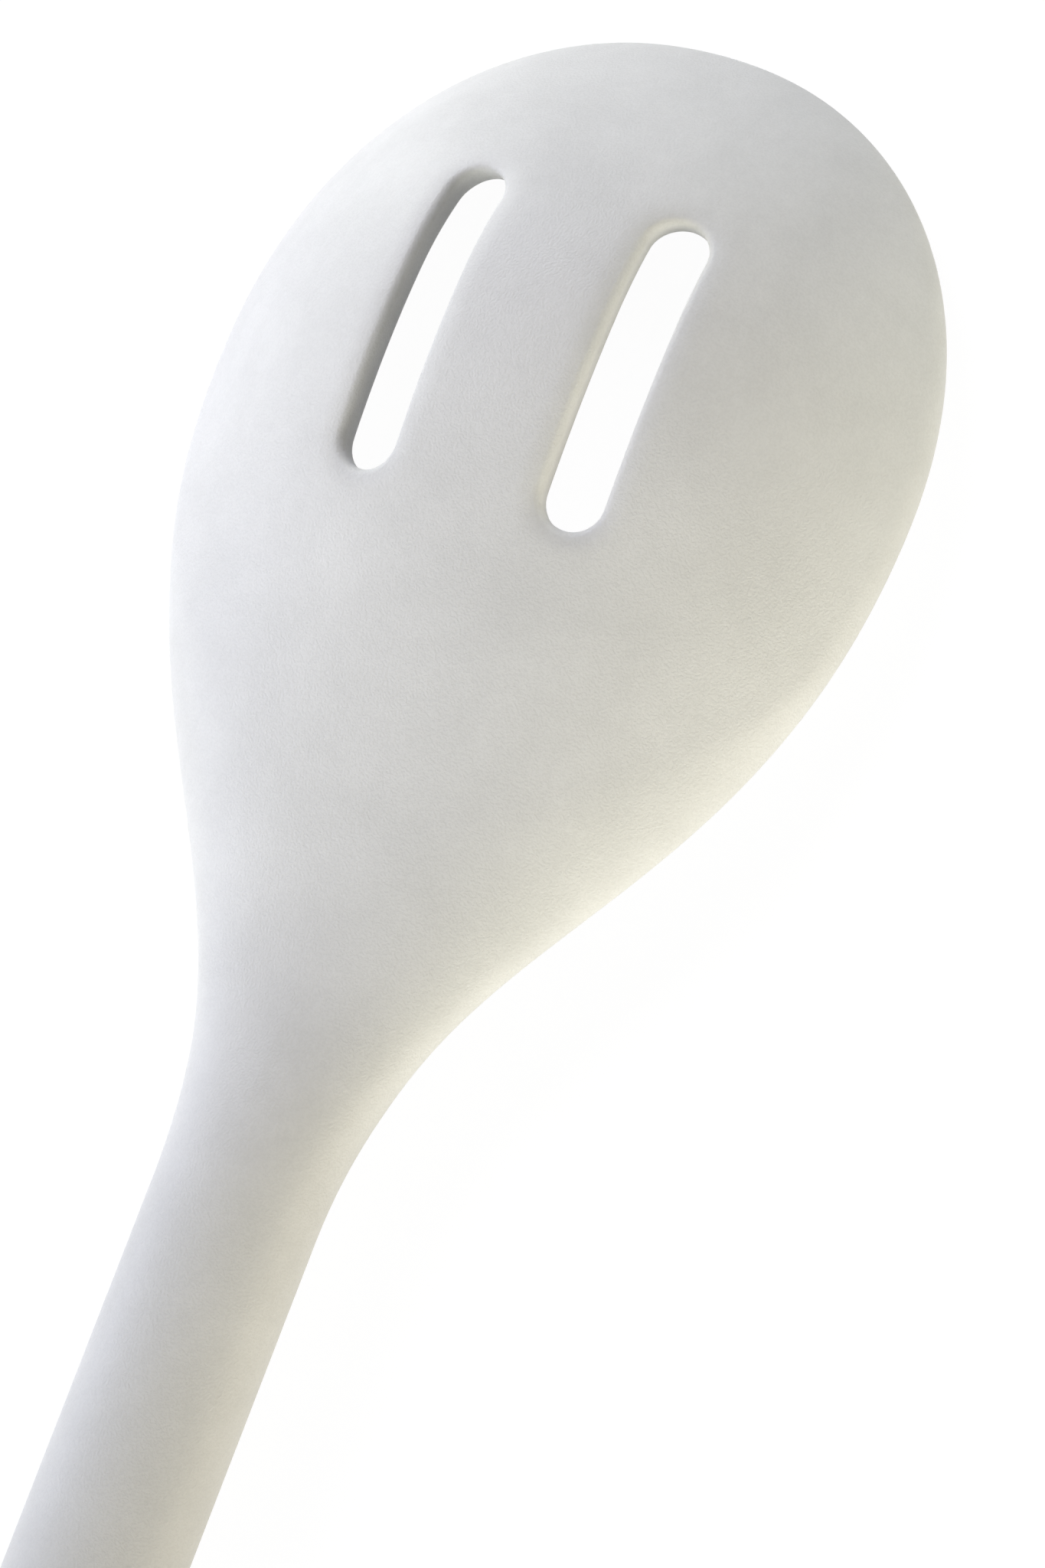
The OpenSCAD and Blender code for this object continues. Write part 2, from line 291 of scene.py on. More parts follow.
    def mid(self, e: np.ndarray, y: np.ndarray, tip_z: float) -> np.ndarray:
        """Points of the mid surface."""
        return np.stack([self.tip_x - e, y, self.mid_z(e, y, tip_z)], axis=-1)

    def skin(self, e: np.ndarray, y: np.ndarray, side: float, tip_z: float) -> np.ndarray:
        """Points of the skin: half a thickness from the mid surface along its normal.

        Args:
            e: Distances from the tip.
            y: Places across.
            side: 1 for the upper skin and -1 for the lower.
            tip_z: Height of the rim's line at the tip.

        Returns:
            Points in millimetres, in the part's frame.
        """
        t = self.half_thickness(e, y)[..., None]
        return self.mid(e, y, tip_z) + side * t * self.normal(e, y, tip_z)


@dataclass(frozen=True)
class LippedOpening:
    """A round-ended opening through the spoon, with straight walls and rounded lips.

    Its sizes are in millimetres. Its lip on the upper skin has a radius of its own, and so
    has the lower one. Its walls lean by a share of the mid surface's slope at its middle,
    from upright at 0 to square to the surface at 1. The upper skin sinks softly towards it
    over the dish's run.
    """

    name: str
    middle: float
    across: float
    straight: float
    radius: float
    lip: float
    lower_lip: float
    row_span: tuple[float, float]
    column_span: tuple[int, int]
    lean_share: float
    dish_run: float = 1.0
    dish_depth: float = 0.0
    lip_steps: int = 8
    wall_steps: int = 2
    blend_steps: int = 10
    blend_power: float = 1.5

    def rim_line(self, long_cells: int, end_cells: int) -> tuple[np.ndarray, np.ndarray]:
        """Centre line places and directions of the opening's outline, in order round it.

        Each long side takes its straight run and an eighth of a turn at each end, and each
        end takes a quarter turn, so that the outline matches a rectangle of cells.

        Args:
            long_cells: Cells along the opening.
            end_cells: Cells across it.

        Returns:
            The place along the opening of each outline point's arc centre, and the unit
            direction from there to the point, as two columns.
        """
        eighth = math.pi / 4.0
        arc = eighth * (self.radius + self.lip)
        run = np.linspace(0.0, self.straight + 2.0 * arc, long_cells + 1)[:-1]
        spare = run - arc
        turn = np.where(spare < 0.0, spare, np.maximum(spare - self.straight, 0.0))
        slide = self.straight / 2.0 - np.clip(spare, 0.0, self.straight)
        side = math.pi / 2.0 + turn / (self.radius + self.lip)
        end = np.linspace(-eighth, eighth, end_cells + 1)[:-1]
        half = np.full(end_cells, self.straight / 2.0)
        angles = np.concatenate([end, side, end + math.pi, side + math.pi])
        slides = np.concatenate([half, slide, -half, -slide])
        return slides, np.stack([np.cos(angles), np.sin(angles)], axis=-1)

    def dish(self, spots: np.ndarray) -> np.ndarray:
        """How far the upper skin sinks at spots of the opening's own plane."""
        past = np.maximum(np.abs(spots[..., 0]) - self.straight / 2.0, 0.0)
        aside = np.hypot(past, spots[..., 1]) - self.radius
        return self.dish_depth * np.clip(1.0 - aside / self.dish_run, 0.0, 1.0) ** 2


@dataclass
class JacketShell:
    """Numpy shell of the skin: a grid over the whole spoon, with a patch round each opening.

    A row of the grid lies across the spoon, and its columns draw together towards the rim
    as the sine of even angles, which keeps the rounded edge smooth.
    """

    form: SpoonForm
    openings: list[LippedOpening]
    tip_rows: int = 60
    neck_rows: int = 100
    handle_rows: int = 44
    hole_rows: int = 26
    butt_rows: int = 22
    half_columns: int = 48
    hole_run: float = 12.0
    aim_rounds: int = 14
    vertices: list[np.ndarray] = field(default_factory=list)
    upper_shares: list[np.ndarray] = field(default_factory=list)
    quads: list[np.ndarray] = field(default_factory=list)
    fans: list[np.ndarray] = field(default_factory=list)
    count: int = 0

    def stations(self) -> np.ndarray:
        """Distances from the tip at which the rows lie, without the two end points."""
        f = self.form
        quarter = math.pi / 2.0
        tip = f.tip_len * (1.0 - np.cos(np.linspace(0.0, quarter, self.tip_rows + 1)[1:]))
        neck = np.linspace(f.tip_len, f.head_len, self.neck_rows + 1)[1:]
        butt_from = f.mid_len - f.butt_len
        handle = np.linspace(f.head_len, butt_from - self.hole_run, self.handle_rows + 1)[1:]
        hole = np.linspace(butt_from - self.hole_run, butt_from, self.hole_rows + 1)[1:]
        butt = butt_from + f.butt_len * np.sin(np.linspace(0.0, quarter, self.butt_rows + 1)[1:-1])
        return np.concatenate([tip, neck, handle, hole, butt])

    def add(self, points: np.ndarray, upper_share: np.ndarray | float = 0.0) -> np.ndarray:
        """Stores points.

        Args:
            points: The points.
            upper_share: How far each belongs to the upper skin, from 0 to 1.

        Returns:
            The points' numbers, in the same arrangement.
        """
        flat = points.reshape(-1, 3)
        numbers = np.arange(self.count, self.count + len(flat)).reshape(points.shape[:-1])
        self.vertices.append(flat)
        self.upper_shares.append(np.broadcast_to(upper_share, points.shape[:-1]).ravel())
        self.count += len(flat)
        return numbers

    def bridge(self, numbers: np.ndarray, closed: bool) -> None:
        """Stores the quads between neighbouring rows of numbers.

        Args:
            numbers: Vertex numbers, one row for each line of the surface.
            closed: Whether each row runs round to its own start.
        """
        grid = np.concatenate([numbers, numbers[:, :1]], axis=1) if closed else numbers
        cells = np.stack([grid[:-1, :-1], grid[1:, :-1], grid[1:, 1:], grid[:-1, 1:]], axis=-1)
        self.quads.append(cells.reshape(-1, 4))

    def skin_grids(self, e: np.ndarray, tip_z: float) -> tuple[np.ndarray, np.ndarray, np.ndarray]:
        """Stores the upper and lower skin's points.

        Args:
            e: Distances of the rows from the tip.
            tip_z: Height of the rim's line at the tip.

        Returns:
            Vertex numbers of the upper skin and of the lower, which share the rim, and the
            places across of the columns.
        """
        n = self.half_columns
        u = np.sin(np.linspace(-math.pi / 2.0, math.pi / 2.0, 2 * n + 1))
        y = self.form.half_width(e)[:, None] * u
        place = np.broadcast_to(e[:, None], y.shape)
        upper = self.add(self.form.skin(place, y, 1.0, tip_z), 1.0)
        inner = self.add(self.form.skin(place[:, 1:-1], y[:, 1:-1], -1.0, tip_z))
        lower = np.concatenate([upper[:, :1], inner, upper[:, -1:]], axis=1)
        return upper, lower, y

    def axes_of(self, opening: LippedOpening, tip_z: float) -> tuple[np.ndarray, np.ndarray]:
        """Middle of an opening on the mid surface, and its own axes as columns."""
        middle, across = np.array([opening.middle]), np.array([opening.across])
        centre = self.form.mid(middle, across, tip_z)[0]
        direction = opening.lean_share * self.form.normal(middle, across, tip_z)[0]
        direction[2] += 1.0 - opening.lean_share
        direction /= np.linalg.norm(direction)
        over = np.cross(direction, [1.0, 0.0, 0.0])
        over /= np.linalg.norm(over)
        return centre, np.stack([[1.0, 0.0, 0.0], over, direction], axis=1)

    def sunk(self, points: np.ndarray, opening: LippedOpening, tip_z: float) -> np.ndarray:
        """The shell's points after the upper skin has sunk towards an opening."""
        centre, axes = self.axes_of(opening, tip_z)
        spots = ((points - centre) @ np.linalg.inv(axes).T)[:, :2]
        drop = np.concatenate(self.upper_shares) * opening.dish(spots)
        return points - drop[:, None] * axes[:, 2]

    def aim(
        self, frame_inv: np.ndarray, centre: np.ndarray, spots: np.ndarray, side: float, tip_z: float
    ) -> tuple[np.ndarray, np.ndarray, np.ndarray]:
        """Finds the skin points that lie on lines through an opening.

        Each line passes through a spot of the opening's own plane. The place on the spoon is
        moved by the miss, measured in that plane, until the miss is gone.

        Args:
            frame_inv: Turns a vector into the opening's own coordinates.
            centre: Middle of the opening on the mid surface.
            spots: Spots as places along and across the opening.
            side: 1 for the upper skin and -1 for the lower.
            tip_z: Height of the rim's line at the tip.

        Returns:
            Distances from the tip, places across and heights along the opening's direction.
        """
        e = self.form.tip_x - centre[0] - spots[..., 0]
        y = centre[1] + spots[..., 1]
        gain = 1.0 / np.linalg.inv(frame_inv)[1, 1]
        for _ in range(self.aim_rounds):
            local = (self.form.skin(e, y, side, tip_z) - centre) @ frame_inv.T
            e = e + (local[..., 0] - spots[..., 0])
            y = y - (local[..., 1] - spots[..., 1]) / gain
        local = (self.form.skin(e, y, side, tip_z) - centre) @ frame_inv.T
        return e, y, local[..., 2]

    def cut(
        self,
        opening: LippedOpening,
        e: np.ndarray,
        y: np.ndarray,
        upper: np.ndarray,
        lower: np.ndarray,
        tip_z: float,
    ) -> tuple[slice, slice]:
        """Stores the walls, lips and skin patches of one opening.

        Args:
            opening: The opening.
            e: Distances of the rows from the tip.
            y: Places across of the grid's points.
            upper: Vertex numbers of the upper skin.
            lower: Vertex numbers of the lower skin.
            tip_z: Height of the rim's line at the tip.

        Returns:
            The rows and columns of cells that the patch takes the place of.
        """
        r0, r1 = np.searchsorted(e, opening.row_span)
        c0, c1 = (self.half_columns + c for c in opening.column_span)
        rows, columns = np.arange(r0, r1 + 1), np.arange(c0, c1 + 1)
        loop_r = np.concatenate(
            [np.full(c1 - c0, r0), rows[:-1], np.full(c1 - c0, r1), rows[:0:-1]]
        )
        loop_c = np.concatenate(
            [columns[:-1], np.full(r1 - r0, c1), columns[:0:-1], np.full(r1 - r0, c0)]
        )
        slides, ways = opening.rim_line(r1 - r0, c1 - c0)

        centre, axes = self.axes_of(opening, tip_z)
        frame_inv = np.linalg.inv(axes)

        turn = np.linspace(0.0, math.pi / 2.0, opening.lip_steps + 1)[::-1]
        arc_centres = np.stack([slides, np.zeros_like(slides)], axis=-1)[None]
        sheets, levels = [], []
        for side, lip in ((1.0, opening.lip), (-1.0, opening.lower_lip)):
            reach = (opening.radius + lip * (1.0 - np.cos(turn)))[:, None, None]
            drop = lip * (1.0 - np.sin(turn))
            spots = reach * ways[None] + arc_centres
            place, across, height = self.aim(frame_inv, centre, spots, side, tip_z)
            share = (np.arange(1, opening.blend_steps) / opening.blend_steps)[:, None]
            share = share**opening.blend_power
            blend_e = place[0] * (1.0 - share) + e[loop_r] * share
            blend_y = across[0] * (1.0 - share) + y[loop_r, loop_c] * share
            sheet = self.form.skin(blend_e, blend_y, side, tip_z)
            height -= side * drop[:, None]
            lips = centre + np.concatenate([spots, height[..., None]], axis=-1) @ axes.T
            sheets.append(sheet)
            levels.append(lips)
        part = np.linspace(0.0, 1.0, opening.wall_steps + 2)[1:-1, None, None]
        wall = levels[0][-1] * (1.0 - part) + levels[1][-1] * part
        stack = np.concatenate(
            [sheets[0][::-1], levels[0], wall, levels[1][::-1], sheets[1]]
        )
        above, below = len(sheets[0]) + len(levels[0]), len(levels[1]) + len(sheets[1])
        shares = np.concatenate([np.ones(above), 1.0 - part.ravel(), np.zeros(below)])
        numbers = self.add(stack, shares[:, None])
        loop_up, loop_low = upper[loop_r, loop_c], lower[loop_r, loop_c]
        self.bridge(np.concatenate([loop_up[None], numbers, loop_low[None]]), closed=True)
        return slice(r0, r1), slice(c0, c1)

    def build(self) -> None:
        """Works out every point and face of the shell."""
        tip_z = self.form.tip_rim_z()
        e = self.stations()
        upper, lower, y = self.skin_grids(e, tip_z)
        keep = np.ones((upper.shape[0] - 1, upper.shape[1] - 1), bool)
        for opening in self.openings:
            rows, columns = self.cut(opening, e, y, upper, lower, tip_z)
            keep[rows, columns] = False
        for grid in (upper, lower):
            cells = np.stack(
                [grid[:-1, :-1], grid[1:, :-1], grid[1:, 1:], grid[:-1, 1:]], axis=-1
            )
            self.quads.append(cells[keep])
        ends = np.array([0.0, self.form.mid_len])
        height = self.form.rim_z(ends, tip_z)
        tips = self.add(np.stack([self.form.tip_x - ends, np.zeros(2), height], axis=-1))
        for row, apex in ((0, tips[0]), (-1, tips[1])):
            for grid in (upper, lower):
                line = grid[row]
                peak = np.full(len(line) - 1, apex)
                self.fans.append(np.stack([peak, line[:-1], line[1:]], axis=-1))
        points = np.concatenate(self.vertices)
        for opening in self.openings:
            points = self.sunk(points, opening, tip_z)
        self.vertices = [points]
        log.info("shell of %d points, rim line at %.3f mm", self.count, tip_z)


# Pieces


def hollow_of(node: bpy.types.Object) -> tuple[np.ndarray, np.ndarray]:
    """Walls of the sealed hollow inside a solid.

    The solid's corners are merged first. Each corner then takes the least number found
    in its triangles, over and over, until every closed surface has one number of its own.

    Args:
        node: The solid's object, made of loose triangles.

    Returns:
        Points in metres, and triangles, of every surface but the longest one.
    """
    mesh = bmesh.new()
    mesh.from_mesh(node.data)
    bmesh.ops.remove_doubles(mesh, verts=mesh.verts, dist=SOLID_WELD)
    mesh.verts.index_update()
    points = np.array([v.co for v in mesh.verts])
    triangles = np.array([[v.index for v in f.verts] for f in mesh.faces])
    mesh.free()
    surface = np.arange(len(points))
    while True:
        least = surface[triangles].min(axis=1)
        spread = surface.copy()
        np.minimum.at(spread, triangles.ravel(), np.repeat(least, 3))
        if np.array_equal(spread, surface):
            break
        surface = spread
    outer = surface[points[:, 0].argmax()]
    return points, triangles[surface[triangles[:, 0]] != outer]


@dataclass
class SiliconeJacket:
    """The seamless skin that is moulded over the steel and nylon pieces."""

    form: SpoonForm
    slot_w: float = 6.2
    slot_len: float = 32.3
    slot_pitch: float = 22.5
    slot_mid: float = 37.3
    slot_lip: float = 0.8
    slot_lower_lip: float = 1.3
    slot_lean_share: float = 0.55
    slot_dish_run: float = 2.6
    slot_dish_depth: float = 0.5
    hang_d: float = 6.0
    hang_inset: float = 13.0
    hang_lip: float = 0.6
    slot_rows: tuple[float, float] = (14.0, 58.0)
    slot_columns: tuple[int, int] = (3, 18)
    hang_rows: tuple[float, float] = (-5.0, 4.8)
    hang_columns: tuple[int, int] = (-20, 20)

    def slot_opening(self, name: str, side: int) -> LippedOpening:
        """One of the two slots, on the side of the spoon that the sign gives."""
        near, far = self.slot_columns
        return LippedOpening(
            name=name,
            middle=self.slot_mid,
            across=side * self.slot_pitch / 2.0,
            straight=self.slot_len - self.slot_w,
            radius=self.slot_w / 2.0,
            lip=self.slot_lip,
            lower_lip=self.slot_lower_lip,
            row_span=self.slot_rows,
            column_span=(near, far) if side > 0 else (-far, -near),
            lean_share=self.slot_lean_share,
            dish_run=self.slot_dish_run,
            dish_depth=self.slot_dish_depth,
        )

    def hanging_hole(self) -> LippedOpening:
        """The round hole close to the butt."""
        middle = self.form.tip_x + self.form.spoon_len / 2.0 - self.hang_inset
        return LippedOpening(
            name="hanging_hole",
            middle=middle,
            across=0.0,
            straight=0.0,
            radius=self.hang_d / 2.0,
            lip=self.hang_lip,
            lower_lip=self.hang_lip,
            row_span=(middle + self.hang_rows[0], middle + self.hang_rows[1]),
            column_span=self.hang_columns,
            lean_share=0.0,
        )

    def skin_mesh(self) -> bpy.types.Mesh:
        """The outer skin as one closed mesh, with its faces turned outwards."""
        openings = [
            self.slot_opening("left_slot", 1),
            self.slot_opening("right_slot", -1),
            self.hanging_hole(),
        ]
        shell = JacketShell(self.form, openings)
        shell.build()
        points = np.concatenate(shell.vertices) * MM
        faces = np.concatenate(shell.quads).tolist() + np.concatenate(shell.fans).tolist()
        skin = bpy.data.meshes.new("silicone_skin")
        skin.from_pydata(points, [], faces)
        work = bmesh.new()
        work.from_mesh(skin)
        bmesh.ops.remove_doubles(work, verts=work.verts, dist=SKIN_WELD)
        bmesh.ops.recalc_face_normals(work, faces=work.faces)
        for face in work.faces:
            face.smooth = True
        work.to_mesh(skin)
        work.free()
        return skin

    def build(self, material: bpy.types.Material) -> bpy.types.Object:
        """Makes the skin, with the sealed hollow that the pieces inside lie in.

        Args:
            material: The silicone's finish.

        Returns:
            The jacket, which stands for the solid of the same name.
        """
        skin = self.skin_mesh()
        points, triangles = hollow_of(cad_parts[Node.JACKET.value])
        walls = bpy.data.meshes.new("silicone_hollow")
        walls.from_pydata(points, [], triangles.tolist())
        work = bmesh.new()
        work.from_mesh(skin)
        work.from_mesh(walls)
        loose = [v for v in work.verts if not v.link_faces]
        bmesh.ops.delete(work, geom=loose, context="VERTS")
        whole = bpy.data.meshes.new("jacket")
        work.to_mesh(whole)
        work.free()
        bpy.data.meshes.remove(skin)
        bpy.data.meshes.remove(walls)
        whole.materials.append(material)
        jacket = bpy.data.objects.new("jacket", whole)
        bpy.context.scene.collection.objects.link(jacket)
        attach(jacket, BODY)
        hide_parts(Node.JACKET.value)
        log.info("jacket: %d faces, %d of them in its hollow", len(whole.polygons), len(triangles))
        return jacket


@dataclass(frozen=True)
class InnerPieces:
    """The pieces inside the skin, which keep their solids and get finishes of their own."""

    plate: bpy.types.Material
    rod: bpy.types.Material
    core: bpy.types.Material

    def dress(self) -> None:
        """Puts each finish in the slots of its solid."""
        finishes = {Node.PLATE: self.plate, Node.ROD: self.rod, Node.CORE: self.core}
        for node, material in finishes.items():
            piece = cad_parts[node.value]
            piece.data.materials.clear()
            piece.data.materials.append(material)
            log.info("%s: finish %s", node.value, material.name)


# Finishes

FULL = (0.0, 1.0)


@dataclass
class Wiring:
    """Adds and joins the nodes of one shader tree."""

    tree: bpy.types.NodeTree

    def add(self, kind: str, **settings: object) -> bpy.types.Node:
        """Adds a node.

        Args:
            kind: The node's type.
            settings: Properties of the node, and values of inputs by their number,
                as in input_2.

        Returns:
            The node.
        """
        node = self.tree.nodes.new(kind)
        for name, value in settings.items():
            if name.startswith("input_"):
                node.inputs[int(name.split("_")[1])].default_value = value
            else:
                setattr(node, name, value)
        return node

    def join(self, source: bpy.types.NodeSocket, target: bpy.types.NodeSocket) -> None:
        """Joins an output to an input."""
        self.tree.links.new(source, target)

    def times(self, value: bpy.types.NodeSocket, factor: float) -> bpy.types.NodeSocket:
        """A value multiplied by a number."""
        node = self.add("ShaderNodeMath", operation="MULTIPLY", input_1=factor)
        self.join(value, node.inputs[0])
        return node.outputs[0]

    def spread(
        self,
        value: bpy.types.NodeSocket,
        given: tuple[float, float],
        made: tuple[float, float] = FULL,
    ) -> bpy.types.NodeSocket:
        """A value between the given levels, brought evenly to between the made ones."""
        node = self.add("ShaderNodeMapRange")
        for number, level in enumerate(given + made, start=1):
            node.inputs[number].default_value = level
        self.join(value, node.inputs[0])
        return node.outputs[0]

    def noise(
        self,
        place: bpy.types.NodeSocket,
        scale: bpy.types.NodeSocket,
        detail: float,
        roughness: float = 0.5,
    ) -> bpy.types.NodeSocket:
        """Noise over a piece.

        Args:
            place: Places on the piece.
            scale: Waves of noise in a metre.
            detail: How many finer layers lie in it.
            roughness: Strength of each finer layer against the one before it.

        Returns:
            The noise, from 0 to 1.
        """
        node = self.add("ShaderNodeTexNoise", noise_dimensions="3D")
        node.inputs["Detail"].default_value = detail
        node.inputs["Roughness"].default_value = roughness
        self.join(place, node.inputs["Vector"])
        self.join(scale, node.inputs["Scale"])
        return node.outputs[0]


def new_group(
    name: str, inputs: dict[str, float], output: str
) -> tuple[Wiring, bpy.types.Node, bpy.types.NodeSocket]:
    """Starts a node group whose first input is a place on the piece.

    Args:
        name: The group's name.
        inputs: Names and starting values of its number inputs.
        output: Name of the number that it works out.

    Returns:
        The group's wiring, its input node and the socket that takes its result.
    """
    group = bpy.data.node_groups.new(name, "ShaderNodeTree")
    group.interface.new_socket(name="Place", in_out="INPUT", socket_type="NodeSocketVector")
    for label, value in inputs.items():
        socket = group.interface.new_socket(
            name=label, in_out="INPUT", socket_type="NodeSocketFloat"
        )
        socket.default_value = value
    group.interface.new_socket(name=output, in_out="OUTPUT", socket_type="NodeSocketFloat")
    wiring = Wiring(group)
    return wiring, wiring.add("NodeGroupInput"), wiring.add("NodeGroupOutput").inputs[output]


def grain_group(
    coarse_detail: float = 2.0,
    fine_detail: float = 1.0,
    fineness: float = 2.7,
    pit_levels: tuple[float, float] = (0.35, 0.6),
) -> bpy.types.NodeTree:
    """Fine moulded grain: two sizes of noise, the finer one pressed into small pits."""
    wiring, given, made = new_group("moulded_grain", {"Scale": 1500.0, "Pit": 0.5}, "Height")
    place, scale = given.outputs["Place"], given.outputs["Scale"]
    coarse = wiring.noise(place, scale, coarse_detail)
    fine = wiring.noise(place, wiring.times(scale, fineness), fine_detail)
    mix = wiring.add("ShaderNodeMix", data_type="FLOAT")
    wiring.join(given.outputs["Pit"], mix.inputs[0])
    wiring.join(coarse, mix.inputs[2])
    wiring.join(wiring.spread(fine, pit_levels), mix.inputs[3])
    wiring.join(mix.outputs[0], made)
    return wiring.tree


def cloud_group(
    detail: float = 7.0, roughness: float = 0.66, levels: tuple[float, float] = (0.3, 0.7)
) -> bpy.types.NodeTree:
    """Slow change of tone over a piece, as pigment and handling leave it, from 0 to 1."""
    wiring, given, made = new_group("tone_clouds", {"Scale": 40.0}, "Tone")
    clouds = wiring.noise(given.outputs["Place"], given.outputs["Scale"], detail, roughness)
    wiring.join(wiring.spread(clouds, levels), made)
    return wiring.tree


def drawn_group(
    detail: float = 2.0, squeeze: tuple[float, float, float] = (60.0, 2500.0, 2500.0)
) -> bpy.types.NodeTree:
    """Fine lines along X, as rolling and drawing leave on steel: noise stretched along X."""
    wiring, given, made = new_group("drawn_lines", {"Scale": 1.0}, "Line")
    stretch = wiring.add("ShaderNodeMapping")
    stretch.inputs["Scale"].default_value = squeeze
    wiring.join(given.outputs["Place"], stretch.inputs["Vector"])
    wiring.join(wiring.noise(stretch.outputs[0], given.outputs["Scale"], detail), made)
    return wiring.tree


@dataclass(frozen=True)
class GroupSet:
    """The node groups that the finishes share."""

    grain: bpy.types.NodeTree
    clouds: bpy.types.NodeTree
    lines: bpy.types.NodeTree

    def place(
        self,
        wiring: Wiring,
        group: bpy.types.NodeTree,
        place: bpy.types.NodeSocket,
        **values: float,
    ) -> bpy.types.NodeSocket:
        """Places a group in a material, reading a piece's own coordinates.

        Args:
            wiring: The material's wiring.
            group: The group to place.
            place: The socket that gives places on the piece.
            values: Values of the group's inputs, by name.

        Returns:
            The group's result.
        """
        node = wiring.add("ShaderNodeGroup")
        node.node_tree = group
        wiring.join(place, node.inputs["Place"])
        for name, value in values.items():
            node.inputs[name].default_value = value
        return node.outputs[0]


def clean_wiring(owner: bpy.types.Material | bpy.types.World) -> Wiring:
    """Wiring of a material or a world, with its starting nodes taken out."""
    owner.use_nodes = True
    owner.node_tree.nodes.clear()
    return Wiring(owner.node_tree)


def start_material(name: str) -> tuple[bpy.types.Material, Wiring, bpy.types.Node, bpy.types.NodeSocket]:
    """Starts a material.

    Args:
        name: The material's name.

    Returns:
        The material, its wiring, its shader and the socket that gives places on the piece.
    """
    material = bpy.data.materials.new(name)
    wiring = clean_wiring(material)
    shader = wiring.add("ShaderNodeBsdfPrincipled")
    output = wiring.add("ShaderNodeOutputMaterial")
    wiring.join(shader.outputs[0], output.inputs["Surface"])
    place = wiring.add("ShaderNodeTexCoord").outputs["Object"]
    return material, wiring, shader, place


def blend_colours(
    wiring: Wiring,
    share: bpy.types.NodeSocket,
    first: tuple[float, float, float],
    second: tuple[float, float, float],
) -> bpy.types.NodeSocket:
    """Colour that goes from the first to the second as the share goes from 0 to 1."""
    mix = wiring.add("ShaderNodeMix", data_type="RGBA", input_6=(*first, 1.0), input_7=(*second, 1.0))
    wiring.join(share, mix.inputs[0])
    return mix.outputs[2]


def raise_surface(
    wiring: Wiring,
    shader: bpy.types.Node,
    height: bpy.types.NodeSocket,
    strength: float,
    distance: float,
) -> None:
    """Bumps a shader's surface.

    Args:
        wiring: The material's wiring.
        shader: The shader.
        height: Height, from 0 to 1.
        strength: Share of the bump that shows.
        distance: Height in metres that 1 stands for.
    """
    bump = wiring.add("ShaderNodeBump")
    bump.inputs["Strength"].default_value = strength
    bump.inputs["Distance"].default_value = distance
    wiring.join(height, bump.inputs["Height"])
    wiring.join(bump.outputs[0], shader.inputs["Normal"])


@dataclass(frozen=True)
class SiliconeFinish:
    """Matte off-white silicone with a very fine moulded grain."""

    pale: tuple[float, float, float] = (0.872, 0.872, 0.862)
    deep: tuple[float, float, float] = (0.717, 0.717, 0.707)
    cloud_scale: float = 60.0
    speck_share: float = 0.36
    roughness: tuple[float, float] = (0.46, 0.56)
    grain_scale: float = 1500.0
    grain_depth: float = 0.00003
    grain_strength: float = 1.0
    pit_share: float = 0.5
    specular: float = 0.4

    def material(self, groups: GroupSet) -> bpy.types.Material:
        """The material, with its tone, roughness and height from the shared groups."""
        material, wiring, shader, place = start_material("matte_silicone")
        clouds = groups.place(wiring, groups.clouds, place, Scale=self.cloud_scale)
        grain = groups.place(wiring, groups.grain, place, Scale=self.grain_scale, Pit=self.pit_share)
        specks = wiring.add("ShaderNodeMix", data_type="FLOAT", input_0=self.speck_share)
        wiring.join(clouds, specks.inputs[2])
        wiring.join(grain, specks.inputs[3])
        tone = blend_colours(wiring, specks.outputs[0], self.deep, self.pale)
        wiring.join(tone, shader.inputs["Base Color"])
        wiring.join(wiring.spread(grain, FULL, self.roughness), shader.inputs["Roughness"])
        shader.inputs["Specular IOR Level"].default_value = self.specular
        raise_surface(wiring, shader, grain, self.grain_strength, self.grain_depth)
        return material


@dataclass(frozen=True)
class SteelFinish:
    """Dull stainless steel with fine lines along the spoon."""

    name: str
    pale: tuple[float, float, float] = (0.64, 0.65, 0.66)
    deep: tuple[float, float, float] = (0.52, 0.53, 0.55)
    roughness: tuple[float, float] = (0.26, 0.42)
    line_strength: float = 0.4
    line_depth: float = 0.00002

    def material(self, groups: GroupSet) -> bpy.types.Material:
        """The material, with drawn lines in its tone, roughness and height."""
        material, wiring, shader, place = start_material(self.name)
        lines = groups.place(wiring, groups.lines, place)
        wiring.join(blend_colours(wiring, lines, self.deep, self.pale), shader.inputs["Base Color"])
        wiring.join(wiring.spread(lines, FULL, self.roughness), shader.inputs["Roughness"])
        shader.inputs["Metallic"].default_value = 1.0
        raise_surface(wiring, shader, lines, self.line_strength, self.line_depth)
        return material


@dataclass(frozen=True)
class NylonFinish:
    """Dark glass-filled nylon, moulded with a light grain."""

    pale: tuple[float, float, float] = (0.15, 0.15, 0.16)
    deep: tuple[float, float, float] = (0.11, 0.11, 0.12)
    roughness: tuple[float, float] = (0.49, 0.63)
    cloud_scale: float = 120.0
    grain_scale: float = 2200.0
    grain_depth: float = 0.00004
    grain_strength: float = 0.8
    pit_share: float = 0.7

    def material(self, groups: GroupSet) -> bpy.types.Material:
        """The material, with flow clouds in its tone and grain in its height."""
        material, wiring, shader, place = start_material("filled_nylon")
        clouds = groups.place(wiring, groups.clouds, place, Scale=self.cloud_scale)
        grain = groups.place(wiring, groups.grain, place, Scale=self.grain_scale, Pit=self.pit_share)
        wiring.join(blend_colours(wiring, clouds, self.deep, self.pale), shader.inputs["Base Color"])
        wiring.join(wiring.spread(clouds, FULL, self.roughness), shader.inputs["Roughness"])
        raise_surface(wiring, shader, grain, self.grain_strength, self.grain_depth)
        return material


# Studio


